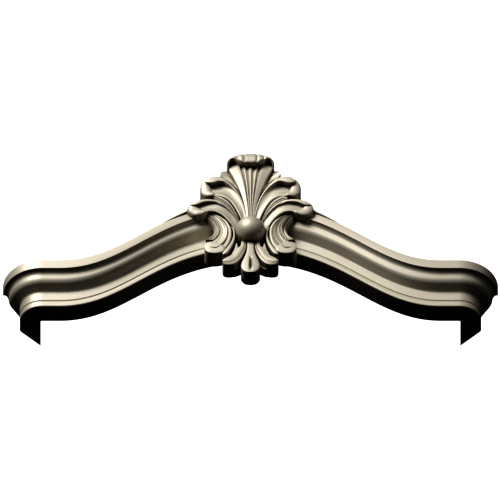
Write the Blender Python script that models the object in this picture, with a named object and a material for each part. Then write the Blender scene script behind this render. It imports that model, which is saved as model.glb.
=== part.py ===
"""Arched crown moulding of a cupboard front, with a carved leaf cartouche over its middle.

X runs along the moulding, Y to the back and Z up. The origin is on the flat back, in the middle of
the moulding's height at the crown of the arch. The front faces -Y. The cartouche is laid out from
the centre of its boss and scaled to its own height.
"""

import math
from dataclasses import dataclass

import bmesh
import bpy
import numpy as np
from mathutils import Vector

# Driving sizes of the moulding, in metres
CLEAR_WIDTH = 0.900
ARCH_RISE = 0.1754
LEVEL_END = 0.042
MOULDING_HEIGHT = 0.1035
TOP_PROJECTION = 0.081
BAND_PROJECTION = 0.045
BAND_HEIGHT = 0.0388
FASCIA_HEIGHT = 0.0235
TOP_COVE_RADIUS = 0.012
OVOLO_RADIUS = 0.0175
OVOLO_STEP = 0.0005
LOWER_COVE_RADIUS = 0.006
EDGE_ROUND = 0.0035
GROOVE_HEIGHT = 0.0167
GROOVE_DEPTH = 0.0012
CORNER_FILLET = 0.0025
RETURN_LENGTH = 0.0755
CREST_REACH = 0.190
CREST_HEIGHT = 0.006
CREST_OVERHANG = 0.006

# Driving sizes of the cartouche, in metres
CARTOUCHE_HEIGHT = 0.338
BOSS_RADIUS = 0.0318
BOSS_BACK = 0.034
BOSS_RISE = 0.0128
BOSS_STAND = 0.004
BACK_GAP = 0.0005
COPE_GAP = 0.0003

# How finely the curves are divided
ARCH_SPANS = 36
CORNER_SPANS = 7
ARC_SPANS = 3
BOSS_SPANS = 20

# The heights and shares that place one size on another
CROWN_UNDERSIDE = -MOULDING_HEIGHT / 2
ENDS_UNDERSIDE = CROWN_UNDERSIDE - ARCH_RISE
OVOLO_END_ANGLE = math.radians(58.4)
ARCH_HANDLE_LOW = 0.3579
ARCH_HANDLE_HIGH = 0.5156
DRAWN_HEIGHT = 338.0
CARVING_SCALE = CARTOUCHE_HEIGHT / DRAWN_HEIGHT
BOSS_HEIGHT = CROWN_UNDERSIDE + BOSS_RISE
BOSS_FACE = TOP_PROJECTION + BOSS_STAND
BACK_INSET = BAND_PROJECTION + BACK_GAP
BEHIND = 0.002
STAGGER = 0.00005
CUT_EXTRA = 0.02
MERGE_DISTANCE = 1e-6
CUT_TOLERANCE = 1e-7
POINTED_END = 1e-3

# Lacquer colours and roughness of the moulding and the carving
MOULDING_COLOUR = (0.62, 0.55, 0.43)
MOULDING_ROUGHNESS = 0.34
CARVING_COLOUR = (0.66, 0.59, 0.47)
CARVING_ROUGHNESS = 0.3

# Shares of the carving's own forms
FULL_RELIEF_SHARE = 0.45
ROUNDED_END = 0.1
NOTCH_WIDTH = 2.5
SLIT_PLACE = 0.64
SLIT_REACH = 0.2
SLIT_SHARE = 0.45


def arc(centre, radius, start, end, spans=ARC_SPANS):
    """Points of a circular arc in the plane of the moulding's profile, angles in radians."""
    angles = [start + (end - start) * step / spans for step in range(spans + 1)]
    return [(centre[0] + radius * math.cos(a), centre[1] + radius * math.sin(a)) for a in angles]


def moulding_profile():
    """The moulding's section from its back lower corner forwards and up: (projection, height)."""
    slope = OVOLO_END_ANGLE
    edge = arc((BAND_PROJECTION - EDGE_ROUND, EDGE_ROUND), EDGE_ROUND, -math.pi / 2, 0)
    groove = [
        (BAND_PROJECTION, GROOVE_HEIGHT - GROOVE_DEPTH),
        (BAND_PROJECTION - GROOVE_DEPTH, GROOVE_HEIGHT),
        (BAND_PROJECTION, GROOVE_HEIGHT + GROOVE_DEPTH),
    ]
    cove_centre = (BAND_PROJECTION + LOWER_COVE_RADIUS, BAND_HEIGHT)
    lower_cove = arc(cove_centre, LOWER_COVE_RADIUS, math.pi, math.pi - slope)
    cove_foot = TOP_PROJECTION - TOP_COVE_RADIUS
    ovolo_x = cove_foot - OVOLO_STEP - OVOLO_RADIUS
    run = ovolo_x + OVOLO_RADIUS * math.cos(slope) - lower_cove[-1][0]
    start_height = lower_cove[-1][1] + run / math.tan(slope)
    ovolo_centre = (ovolo_x, start_height + OVOLO_RADIUS * math.sin(slope))
    ovolo = arc(ovolo_centre, OVOLO_RADIUS, -slope, 0)
    arris = MOULDING_HEIGHT - FASCIA_HEIGHT
    top_cove = arc((TOP_PROJECTION, arris - TOP_COVE_RADIUS), TOP_COVE_RADIUS, math.pi, math.pi / 2)
    front = edge + groove + lower_cove + ovolo + top_cove + [(TOP_PROJECTION, MOULDING_HEIGHT)]
    return [(0.0, 0.0)] + front


def arch_lift(x):
    """How far the moulding has climbed at x, on the cubic curve from its level end to the crown."""
    half = CLEAR_WIDTH / 2
    ends = half - LEVEL_END
    if abs(x) >= ends:
        return 0.0
    across = (0.0, ends * ARCH_HANDLE_LOW, ends * ARCH_HANDLE_HIGH, ends)
    want = ends - abs(x)
    low, high = 0.0, 1.0
    for _ in range(50):
        t = (low + high) / 2
        reach = 3 * (1 - t) ** 2 * t * across[1] + 3 * (1 - t) * t**2 * across[2] + t**3 * across[3]
        low, high = (t, high) if reach < want else (low, t)
    return ARCH_RISE * (3 * (1 - t) * t**2 + t**3)


def crest_share(x):
    """How much of the crest fillet stands at x: none at its reach, all of it at the crown."""
    share = max(0.0, 1 - abs(x) / CREST_REACH)
    return math.sin(math.pi / 2 * min(1.0, share * 2))


def moulding_stations(extra):
    """Places along the moulding: (point on the back line, direction outwards, lift, crest share)."""
    half = CLEAR_WIDTH / 2 - CORNER_FILLET
    stations = [(Vector((-CLEAR_WIDTH / 2, RETURN_LENGTH + extra, 0)), Vector((-1, 0, 0)), 0.0, 0.0)]
    for side in (-1, 1):
        turn = []
        for step in range(CORNER_SPANS + 1):
            angle = math.pi / 2 * step / CORNER_SPANS
            out = Vector((side * math.sin(angle), -math.cos(angle), 0))
            centre = Vector((side * half, CORNER_FILLET, 0))
            turn.append((centre + out * CORNER_FILLET, out, 0.0, 0.0))
        if side < 0:
            stations += turn[::-1]
            for step in range(1, ARCH_SPANS):
                x = half * (2 * step / ARCH_SPANS - 1)
                stations.append((Vector((x, 0, 0)), Vector((0, -1, 0)), arch_lift(x), crest_share(x)))
        else:
            stations += turn
    stations.append((Vector((CLEAR_WIDTH / 2, RETURN_LENGTH + extra, 0)), Vector((1, 0, 0)), 0.0, 0.0))
    return stations


def section_at(station, grow):
    """The world points of the moulding's section at a station, grown all round by a gap."""
    foot, out, lift, crest = station
    points = []
    for projection, height in moulding_profile():
        front = projection + grow if projection > 0 else -grow
        points.append((front, height - grow if height < EDGE_ROUND else height))
    lip = TOP_PROJECTION + grow + CREST_OVERHANG * crest
    crest_foot = MOULDING_HEIGHT - (grow if crest else 0)
    crest_top = MOULDING_HEIGHT + grow + CREST_HEIGHT * crest
    points[-1] = (TOP_PROJECTION + grow, crest_foot)
    points += [(lip, crest_foot), (lip, crest_top), (-grow, crest_top)]
    base = ENDS_UNDERSIDE + lift
    return [foot + out * front + Vector((0, 0, base + height)) for front, height in points]


def moulding_shape(grow=0.0):
    """The closed moulding, its returns cut off flat at 45 degrees."""
    mesh = bmesh.new()
    rings = [[mesh.verts.new(p) for p in section_at(s, grow)] for s in moulding_stations(CUT_EXTRA)]
    for ring, following in zip(rings, rings[1:]):
        for k in range(len(ring)):
            k2 = (k + 1) % len(ring)
            mesh.faces.new((ring[k], ring[k2], following[k2], following[k]))
    mesh.faces.new(rings[0][::-1])
    mesh.faces.new(rings[-1])
    bmesh.ops.remove_doubles(mesh, verts=mesh.verts, dist=MERGE_DISTANCE)
    for side in (-1, 1):
        cut = bmesh.ops.bisect_plane(
            mesh,
            geom=mesh.verts[:] + mesh.edges[:] + mesh.faces[:],
            plane_co=(side * CLEAR_WIDTH / 2, RETURN_LENGTH + grow, 0),
            plane_no=(side, 1, 0),
            clear_outer=True,
            dist=CUT_TOLERANCE,
        )
        edges = [item for item in cut["geom_cut"] if isinstance(item, bmesh.types.BMEdge)]
        bmesh.ops.edgenet_fill(mesh, edges=edges)
    bmesh.ops.recalc_face_normals(mesh, faces=mesh.faces)
    return mesh


def knots_of(points):
    """The running length at each point of a line."""
    gaps = np.linalg.norm(np.diff(points[:, :3], axis=0), axis=1)
    return np.concatenate([[0], np.cumsum(gaps)])


def flowing_line(points, knots, count):
    """Evenly spaced points on the smooth curve that passes through the given ones at their knots."""
    slopes = np.gradient(points, knots, axis=0)
    at = np.linspace(0, knots[-1], count)
    index = np.clip(np.searchsorted(knots, at, side="right") - 1, 0, len(knots) - 2)
    step = (knots[index + 1] - knots[index])[:, None]
    s = (at - knots[index])[:, None] / step
    start, end = points[index], points[index + 1]
    return (
        (1 + 2 * s) * (1 - s) ** 2 * start
        + s * (1 - s) ** 2 * step * slopes[index]
        + s**2 * (3 - 2 * s) * end
        + s**2 * (s - 1) * step * slopes[index + 1]
    )


def both_ways(*half):
    """A section given from its middle outwards, made a whole one from edge to edge."""
    left = [((1 - place) / 2, root, tip) for place, root, tip in reversed(half) if place > 0]
    return (*left, *(((1 + place) / 2, root, tip) for place, root, tip in half))


@dataclass(frozen=True)
class Blade:
    """One leaf between two edges, or one rounded ridge along a line.

    An edge point is (x, rise, stand) in drawn millimetres from the centre of the boss: x outwards,
    stand forwards, and rise the height at which a 45 degree sight line from below through the point
    meets the boss's own plane. A ridge point has its half width as a fourth number. A section's row
    is a place from one edge to the other, 0 to 1, with the height there at the root and at the tip.
    """

    name: str
    edge: tuple
    other: tuple = ()
    section: tuple = ()
    swell: tuple = (0.0, 0.0)
    slit: float = 0.0
    notches: tuple = ()
    notch_depth: float = 0.0
    fullness: float = 3.0
    rows: int = 8
    columns: int = 4

    def edges(self):
        """Both edges as (x, z, stand) rows; a ridge's are worked out from its line and widths."""
        one = np.array(self.edge, float)
        if self.other:
            two = np.array(self.other, float)
            knots = (knots_of(one) + knots_of(two)) / 2
            return [self.flat(flowing_line(points, knots, self.rows + 1)) for points in (one, two)]
        line = flowing_line(one, knots_of(one), self.rows + 1)
        half = line[:, 3] * self.ends_rounding()
        line = self.flat(line)
        run = np.gradient(line[:, :2], axis=0)
        run /= np.linalg.norm(run, axis=1)[:, None]
        side = np.stack([-run[:, 1], run[:, 0], np.zeros(len(run))], axis=1) * half[:, None]
        return line - side, line + side

    @staticmethod
    def flat(points):
        """(x, rise, stand) made (x, z, stand)."""
        return np.stack([points[:, 0], points[:, 1] - points[:, 2], points[:, 2]], axis=1)

    def along(self):
        """How far along the blade each row lies, from 0 to 1."""
        return np.linspace(0, 1, self.rows + 1)

    def ends_rounding(self):
        """The share of its width that a ridge has at each row, round at both ends."""
        t = self.along()
        from_end = np.clip(np.minimum(t, 1 - t) / ROUNDED_END, 0, 1)
        return np.sqrt(1 - (1 - from_end) ** 2)

    def across(self):
        """The places of the columns from edge to edge: the section's own corners where it has one."""
        if self.section:
            return np.array([row[0] for row in self.section])
        return (1 - np.cos(np.linspace(0, math.pi, self.columns + 1))) / 2

    def front(self):
        """The carved face as rows of (x, z, stand)."""
        first, second = self.edges()
        v = self.across()
        t = self.along()[:, None]
        grid = first[:, None] * (1 - v[None, :, None]) + second[:, None] * v[None, :, None]
        width = np.linalg.norm(first - second, axis=1)
        narrow = np.clip(width / (width.max() * FULL_RELIEF_SHARE), 0, 1)[:, None]
        round_over = (np.clip(1 - np.abs(2 * v - 1) ** self.fullness, 0, 1) ** (1 / self.fullness))[None]
        grid[..., 2] += (self.swell[0] * (1 - t) + self.swell[1] * t) * narrow * round_over
        if self.section:
            root, tip = (np.array([row[k] for row in self.section])[None] for k in (1, 2))
            grid[..., 2] += (root * (1 - t) + tip * t) * narrow
        for notch in self.notches:
            away = (np.abs(grid[..., 0]) - notch) / NOTCH_WIDTH
            grid[..., 2] -= self.notch_depth * np.exp(-(away**2))
        if self.slit:
            lengthways = np.clip(1 - ((t - SLIT_PLACE) / SLIT_REACH) ** 2, 0, 1)
            grid[..., 2] -= self.slit * lengthways * np.clip(1 - np.abs(2 * v - 1) / SLIT_SHARE, 0, 1)
        return grid


def blade_shape(blade, side, back_extra):
    """The closed body of a blade: its carved face, walls straight back, and a flat back."""
    grid = blade.front()
    mesh = bmesh.new()
    back = BACK_INSET - BEHIND - back_extra
    scale = CARVING_SCALE

    def point(x, z, stand):
        return Vector((side * x * scale, -(BOSS_FACE + stand * scale), BOSS_HEIGHT + z * scale))

    rows, columns = grid.shape[0], grid.shape[1]
    verts = []
    for i in range(rows):
        if np.linalg.norm(grid[i, 0] - grid[i, -1]) < POINTED_END:
            verts.append([mesh.verts.new(point(*grid[i, 0]))] * columns)
        else:
            verts.append([mesh.verts.new(point(*grid[i, j])) for j in range(columns)])
    for i in range(rows - 1):
        for j in range(columns - 1):
            corners = [verts[i][j], verts[i][j + 1], verts[i + 1][j + 1], verts[i + 1][j]]
            corners = list(dict.fromkeys(corners))
            if len(corners) > 2:
                mesh.faces.new(corners)
    loop = [row[0] for row in verts] + verts[-1][1:] + [row[-1] for row in verts[-2::-1]] + verts[0][-2:0:-1]
    loop = list(dict.fromkeys(loop))
    foot = [mesh.verts.new((v.co.x, -back, v.co.z)) for v in loop]
    for k in range(len(loop)):
        k2 = (k + 1) % len(loop)
        mesh.faces.new((loop[k], loop[k2], foot[k2], foot[k]))
    mesh.faces.new(foot)
    bmesh.ops.recalc_face_normals(mesh, faces=mesh.faces)
    return mesh


def boss_shape():
    """The boss: half a ball on a round base."""
    mesh = bmesh.new()
    rings = ARC_SPANS + 2
    profile = [(0.0, -BOSS_FACE + BOSS_BACK)]
    for step in range(rings + 1):
        angle = math.pi / 2 * step / rings
        profile.append((BOSS_RADIUS * math.cos(angle), -BOSS_FACE - BOSS_RADIUS * math.sin(angle)))
    profile.insert(1, (BOSS_RADIUS, -BOSS_FACE + BOSS_BACK))
    line = [mesh.verts.new((radius, y, BOSS_HEIGHT)) for radius, y in profile]
    edges = [mesh.edges.new(pair) for pair in zip(line, line[1:])]
    bmesh.ops.spin(
        mesh,
        geom=line + edges,
        cent=(0, 0, BOSS_HEIGHT),
        axis=(0, 1, 0),
        angle=2 * math.pi,
        steps=BOSS_SPANS,
    )
    bmesh.ops.remove_doubles(mesh, verts=mesh.verts, dist=MERGE_DISTANCE)
    bmesh.ops.recalc_face_normals(mesh, faces=mesh.faces)
    return mesh


# The ground behind the leaves, and the pieces that stand on the centre line
GROUND = Blade(
    "ground",
    edge=(
        (0, -98, -27),
        (30, -70, -27),
        (46, -25, -27),
        (60, 20, -27),
        (56, 70, -27),
        (30, 120, -27),
        (0, 150, -27),
    ),
    other=(
        (0, -98, -27),
        (-30, -70, -27),
        (-46, -25, -27),
        (-60, 20, -27),
        (-56, 70, -27),
        (-30, 120, -27),
        (0, 150, -27),
    ),
)
FAN = Blade(
    "fan",
    edge=(
        (8, 10, -4),
        (9.5, 40, 1),
        (11.4, 63.6, 4.5),
        (14.2, 82, 6.5),
        (19.3, 107, 8),
        (26.6, 134.8, 9),
        (32, 152.4, 9),
        (40.8, 175.2, 8.5),
        (48, 192, 7),
        (49.5, 203, 5.5),
        (46, 214, 4),
    ),
    other=(
        (-8, 10, -4),
        (-9.5, 40, 1),
        (-11.4, 63.6, 4.5),
        (-14.2, 82, 6.5),
        (-19.3, 107, 8),
        (-26.6, 134.8, 9),
        (-32, 152.4, 9),
        (-40.8, 175.2, 8.5),
        (-48, 192, 7),
        (-49.5, 203, 5.5),
        (-46, 214, 4),
    ),
    section=both_ways(
        (0.0, 2.5, 3.5),
        (0.07, 2.0, 3.0),
        (0.14, -1.5, -3.0),
        (0.2, 0.5, 0.5),
        (0.27, 1.5, 2.0),
        (0.33, 1.0, 1.5),
        (0.4, -2.0, -4.5),
        (0.5, 1.5, 2.5),
        (1.0, -1.0, -1.5),
    ),
)
FAN_LIP = Blade(
    "fan_lip",
    edge=(
        (47, 190, 9),
        (48, 202, 15),
        (46.5, 213, 20),
        (42.5, 219, 22),
        (35, 221, 23),
        (28, 217, 24),
        (20, 213, 25),
        (10, 211, 26),
        (0, 210.5, 26),
        (-10, 211, 26),
        (-20, 213, 25),
        (-28, 217, 24),
        (-35, 221, 23),
        (-42.5, 219, 22),
        (-46.5, 213, 20),
        (-48, 202, 15),
        (-47, 190, 9),
    ),
    other=(
        (48.5, 188, 8),
        (51.3, 202, 12),
        (49, 213, 15),
        (43, 222, 18),
        (34, 228.5, 19),
        (28, 231.5, 20),
        (21, 234.5, 21),
        (10, 236.5, 21.5),
        (0, 237, 21.5),
        (-10, 236.5, 21.5),
        (-21, 234.5, 21),
        (-28, 231.5, 20),
        (-34, 228.5, 19),
        (-43, 222, 18),
        (-49, 213, 15),
        (-51.3, 202, 12),
        (-48.5, 188, 8),
    ),
    section=((0.0, -2.0, -2.0), (0.15, 0.5, 0.5), (0.5, 2.0, 2.0), (0.85, 1.0, 1.0), (1.0, -2.0, -2.0)),
    notches=(14.0, 29.5),
    notch_depth=3.5,
)
DROP = Blade(
    "drop",
    edge=(
        (8, -28, -4),
        (7.5, -50, -2),
        (9.5, -66, -1),
        (14, -82, 0),
        (20, -101, 0),
        (20, -113, -1.5),
        (11.5, -126.5, -3.5),
        (0, -130.5, -4.5),
    ),
    other=(
        (-8, -28, -4),
        (-7.5, -50, -2),
        (-9.5, -66, -1),
        (-14, -82, 0),
        (-20, -101, 0),
        (-20, -113, -1.5),
        (-11.5, -126.5, -3.5),
        (0, -130.5, -4.5),
    ),
    swell=(2.0, 4.5),
    slit=8.0,
)

# The leaves of one side, which the other side mirrors
SIDE_BLADES = (
    Blade(
        "back_leaf",
        edge=(
            (26.8, 124, -4),
            (34, 136, -3),
            (41, 146, -1),
            (49, 154, 0),
            (56.8, 159.5, 1),
            (62, 164, 2),
            (65, 169, 2),
        ),
        other=(
            (22.5, 128, -7),
            (30, 147, -7),
            (37, 165, -6),
            (44, 177, -4),
            (54.7, 182.9, -1),
            (62, 180, 1),
            (65, 172, 2),
        ),
        section=(
            (0, 0, -1),
            (0.2, 1, 1),
            (0.42, 1.5, 2.5),
            (0.5, 0, 0),
            (0.8, 0, 0.5),
            (1, -1.5, -1),
        ),
    ),
    Blade(
        "upper_leaf",
        edge=(
            (9, 14, -5),
            (10.7, 52, 1.5),
            (16.1, 78.5, 6),
            (22.5, 100, 9.5),
            (31.1, 116.5, 11),
            (39.7, 128.2, 10.5),
            (48.3, 135.5, 9.5),
            (65.4, 143.2, 8.5),
            (80.4, 141.4, 8.5),
            (92, 137, 8.5),
        ),
        other=(
            (18, 10, -6),
            (19.5, 30, -2),
            (22.5, 42.3, 1),
            (26.8, 54.5, 3),
            (35.4, 75.7, 6.5),
            (44, 91, 9),
            (52.6, 100, 11),
            (65.4, 106.5, 12),
            (80.4, 107.5, 12),
            (93, 120, 11),
        ),
        section=(
            (0, 0, 0),
            (0.3, -1, -3),
            (0.6, -0.5, -3),
            (0.88, 0.5, 0),
            (1, -0.5, -1.5),
        ),
    ),
    Blade(
        "upper_curl",
        edge=(
            (94, 153, 9),
            (102, 146, 7),
            (107.2, 134.5, 6),
            (108, 121.2, 5.5),
            (105, 108, 5.5),
            (96, 101.5, 6),
            (84.7, 101.5, 7),
            (72, 106, 9),
        ),
        other=(
            (91, 147, 8),
            (88, 139.4, 7.5),
            (86, 133.3, 7),
            (84.5, 125.7, 7),
            (82.5, 118.2, 7),
            (80.5, 114, 7.5),
            (77.5, 111.5, 8),
            (72, 108.5, 9),
        ),
        swell=(9.0, 6.0),
        fullness=2.2,
    ),
    Blade(
        "upper_ridge",
        edge=(
            (7.5, 25, -4, 1.2),
            (10.7, 52.5, 2, 1.2),
            (16.1, 79.5, 6.5, 1.4),
            (22.5, 102, 10, 1.6),
            (31.1, 120.5, 13, 1.8),
            (39.7, 135.2, 15.5, 2.4),
            (48.3, 145.5, 18, 3.2),
            (56.8, 153, 19.5, 4.2),
            (65.4, 156.5, 20, 6),
            (74, 156.8, 20.5, 8),
            (82, 155, 20.5, 9.2),
            (90, 152.2, 20, 8.4),
            (97.5, 149, 18.5, 6),
        ),
        swell=(1.5, 2.0),
    ),
    Blade(
        "reeded_leaf",
        edge=(
            (18, 10, -8),
            (25.7, 36.3, -4.5),
            (31.1, 54.5, -1.5),
            (39.7, 75.7, 2),
            (48.3, 89.3, 4.5),
            (59, 99, 6),
            (69.7, 103.6, 6.5),
            (78.3, 98, 7),
        ),
        other=(
            (20, 6, -4),
            (30, 37, 2),
            (38, 52.5, 5.5),
            (48, 67, 8.5),
            (57, 77, 11),
            (65.4, 83.3, 12.5),
            (73, 88.5, 13),
            (80, 92, 12.5),
        ),
        section=(
            (0, 0, 0),
            (0.08, 1.5, 1.5),
            (0.3, 2.5, 2.5),
            (0.37, 0.6, 0.4),
            (0.44, 2.5, 2.5),
            (0.51, 0.6, 0.4),
            (0.58, 2.5, 2.5),
            (0.65, 0.6, 0.4),
            (0.72, 2.5, 2.5),
            (0.79, 0.6, 0.4),
            (0.88, 1.5, 1.5),
            (1, 0, 0),
        ),
    ),
    Blade(
        "middle_leaf",
        edge=(
            (22, 10, -5),
            (33.2, 42, 0),
            (44, 59, 3),
            (54.7, 72, 6),
            (65.4, 79.8, 8.5),
            (76.1, 86, 9.5),
            (86.9, 86, 9),
            (97.6, 84.2, 8),
            (108.3, 80.7, 7.5),
            (118, 77, 7),
        ),
        other=(
            (22, -8, -6),
            (33.2, 3, -2),
            (37.5, 12, 0),
            (44, 25.6, 3),
            (54.7, 42.3, 5.5),
            (65.4, 53.5, 7.5),
            (76.1, 59.9, 8.5),
            (86.9, 61.4, 9),
            (97, 59.5, 9),
            (114, 66, 8),
        ),
        section=(
            (0, 0, 0),
            (0.3, -0.5, -2),
            (0.6, -0.5, -2),
            (0.88, 0.5, 0),
            (1, -0.5, -1),
        ),
    ),
    Blade(
        "middle_curl",
        edge=(
            (127, 80, 7),
            (132.5, 74.6, 5.5),
            (135.4, 66, 4),
            (134, 55.5, 3.5),
            (128, 48, 3),
            (119, 44, 3.5),
            (108.3, 45, 4),
            (99.7, 50.5, 5.5),
            (92, 57.5, 7),
        ),
        other=(
            (124, 77, 6.5),
            (118.5, 75, 6),
            (114.5, 72, 5.5),
            (111.5, 68, 5),
            (107.5, 65, 5),
            (103, 62.6, 5.5),
            (98.7, 61, 6),
            (95.5, 60, 6.5),
            (92, 59.5, 7),
        ),
        swell=(8.0, 4.5),
        fullness=2.2,
    ),
    Blade(
        "middle_ridge",
        edge=(
            (20, 6, -4, 1.2),
            (29, 34.7, -0.5, 1.2),
            (33.2, 42.8, 1, 1.3),
            (44, 61, 5, 1.6),
            (54.7, 74.5, 8, 2),
            (65.4, 83, 11, 2.4),
            (76.1, 90.5, 13.5, 2.8),
            (86.9, 92.7, 14.5, 3.4),
            (97.6, 92.3, 15, 3.8),
            (108.3, 89.2, 15, 4.6),
            (117, 85, 14.5, 5.4),
            (124.5, 81.4, 13.5, 5),
            (130, 78.5, 12, 3.5),
        ),
        swell=(1.0, 1.5),
    ),
    Blade(
        "scroll_inside",
        edge=(
            (95, 51, -3),
            (92.6, 36, -6),
            (85.4, 23.5, -10),
            (79, 11, -11),
            (78.3, -1.6, -10),
            (83.6, -14.2, -6),
            (91, -21, -1.5),
            (96, -26, 1),
        ),
        other=(
            (95, 51, -3),
            (81.7, 43, 0),
            (71.2, 28.6, 1),
            (65.8, 11, 2),
            (66.7, -4, 2),
            (72, -17, 2),
            (82, -29, 2),
            (96, -26, 1),
        ),
        section=(
            (0.0, -3.0, -2.0),
            (0.15, 0.0, 1.0),
            (0.35, 1.0, 2.0),
            (0.55, -1.5, -1.5),
            (0.75, 1.5, 1.5),
            (0.9, 2.0, 2.0),
            (1.0, 0.0, 0.0),
        ),
    ),
    Blade(
        "scroll_middle",
        edge=(
            (95, 51, -3),
            (81.7, 43, -1),
            (71.2, 28.6, 0),
            (65.8, 11, 0),
            (66.7, -4, 0),
            (72, -17, 0.5),
            (80, -28, 1.5),
            (89, -37.5, 2.5),
            (93, -46, 3),
        ),
        other=(
            (95, 51, -3),
            (74.6, 47.5, 0),
            (60.5, 31, 2),
            (51.5, 13.5, 3),
            (48.9, -1.6, 3),
            (51.5, -21.8, 3.5),
            (61, -40, 4.5),
            (75, -51.5, 5),
            (93, -47, 3.5),
        ),
        section=(
            (0, -1, -1),
            (0.2, -2, -0.5),
            (0.32, 0, 0.5),
            (0.38, -1.5, 0),
            (0.6, -1.5, 1),
            (0.8, 1, 1.5),
            (0.93, 2, 1.5),
            (1, -1, -1),
        ),
    ),
    Blade(
        "scroll_outside",
        edge=(
            (80, 51.5, -1),
            (74.6, 48, 0),
            (69.3, 42.4, 0.5),
            (60.5, 31, 1),
            (51.5, 13.5, 2),
            (48.9, -1.6, 2),
            (51.5, -21.8, 2),
            (61, -41, 2.5),
            (77, -54, 2.5),
        ),
        other=(
            (80, 51.5, -1),
            (75, 50, 0),
            (69.5, 46.5, 0.5),
            (63.9, 42, 1),
            (51.5, 31, 1),
            (43, 14, 1),
            (40, -9, 1),
            (44.4, -38.1, 1),
            (57, -62, 1.5),
        ),
        section=(
            (0, 0, 0),
            (0.12, -1.5, -1),
            (0.3, 0, 0.5),
            (0.55, 1.5, 2),
            (0.85, 1.5, 2),
            (1, -0.5, -0.5),
        ),
    ),
    Blade(
        "scroll_lobe",
        edge=(
            (98.5, -46, 0),
            (95, -37, 1),
            (87, -33.5, 2),
            (77, -33.5, 2.5),
            (67, -37, 2.5),
            (58, -46, 2),
            (52, -56, 1),
        ),
        other=(
            (98.5, -48, 0),
            (98.5, -57, 0.5),
            (92, -65.5, 1),
            (82, -69, 1),
            (72, -69, 1),
            (60, -65.5, 1),
            (52, -58, 1),
        ),
        swell=(3.0, 3.0),
    ),
    Blade(
        "scroll_edge",
        edge=(
            (42, 14, -3, 1.2),
            (37, 4, -2, 2),
            (35, -16.8, -1, 2.4),
            (38, -33, 0, 3.2),
            (46.5, -54, 1, 4.6),
            (54, -67, 1, 5),
            (60, -74, 0, 3.5),
        ),
        swell=(2.0, 4.0),
    ),
    Blade(
        "sprig",
        edge=(
            (31.5, -37, -4),
            (33.5, -48, -3),
            (36.5, -60, -2),
            (41, -69, -1.5),
        ),
        other=(
            (28.5, -38, -4),
            (27, -48, -3),
            (27, -60, -2),
            (33, -70, -1.5),
        ),
        swell=(1.0, 1.0),
    ),
    Blade(
        "foot_body",
        edge=(
            (60.3, -98, -14),
            (52, -92, -14),
            (36, -92, -14),
            (20, -97, -14),
        ),
        other=(
            (60.3, -99, -14),
            (51, -113, -14),
            (36, -117, -14),
            (20, -110, -14),
        ),
    ),
    Blade(
        "foot_leaf",
        edge=(
            (19.3, -30, -4),
            (22.5, -45.7, -2),
            (27.9, -50, -1),
            (31.1, -55, -0.5),
            (36.5, -65.4, 0),
            (44, -74.5, 1),
            (52.6, -80.5, 1.5),
            (60.5, -88, 1.5),
        ),
        other=(
            (9.7, -30, -4),
            (9.7, -51.7, -1),
            (15, -71.4, 1),
            (22.5, -86.6, 2),
            (33.2, -98, 2.5),
            (46.1, -102, 2.5),
            (57.5, -99, 2),
            (60.5, -90, 1.5),
        ),
        section=(
            (0, -0.5, -0.5),
            (0.06, 1, 1),
            (0.42, 1.5, 2),
            (0.62, 1, 1.5),
            (0.68, -0.5, 0),
            (0.74, 1, 1.5),
            (0.8, -0.5, 0),
            (0.87, 1, 1.5),
            (1, -0.5, -0.5),
        ),
    ),
)


def helper(name, mesh_data):
    """An object that only joins or cuts another."""
    mesh = bpy.data.meshes.new(name)
    mesh_data.to_mesh(mesh)
    mesh_data.free()
    made = bpy.data.objects.new(name, mesh)
    bpy.context.scene.collection.objects.link(made)
    made.hide_render = True
    made.display_type = "WIRE"
    return made


def box_shape(low, high):
    """A plain box between two corners."""
    mesh = bmesh.new()
    bmesh.ops.create_cube(mesh, size=1)
    low, high = Vector(low), Vector(high)
    for vert in mesh.verts:
        vert.co = Vector((low[k] + (vert.co[k] + 0.5) * (high[k] - low[k]) for k in range(3)))
    return mesh


def lacquer(name, colour, roughness):
    """A lacquered finish with a soft metal lustre."""
    material = bpy.data.materials.new(name)
    material.use_nodes = True
    shader = material.node_tree.nodes["Principled BSDF"]
    shader.inputs["Base Color"].default_value = (*colour, 1)
    shader.inputs["Metallic"].default_value = 0.85
    shader.inputs["Roughness"].default_value = roughness
    return material


def named_part(name, mesh_data, material):
    """A visible sub-part, shaded smooth but for its sharp edges."""
    mesh = bpy.data.meshes.new(name)
    mesh_data.to_mesh(mesh)
    mesh_data.free()
    mesh.shade_smooth()
    mesh.set_sharp_from_angle(angle=math.radians(35))
    mesh.materials.append(material)
    made = bpy.data.objects.new(name, mesh)
    bpy.context.scene.collection.objects.link(made)
    return made


def boolean(target, operation, other=None, group=None):
    """Joins or cuts a part with a helper, or with every helper of a group."""
    modifier = target.modifiers.new(operation.lower(), "BOOLEAN")
    modifier.operation = operation
    modifier.solver = "EXACT"
    modifier.use_self = bool(group)
    if group:
        modifier.operand_type = "COLLECTION"
        modifier.collection = group
    else:
        modifier.object = other


def make_cornice(material):
    """The moulding with its arch and its two returns."""
    return named_part("cornice", moulding_shape(), material)


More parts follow.
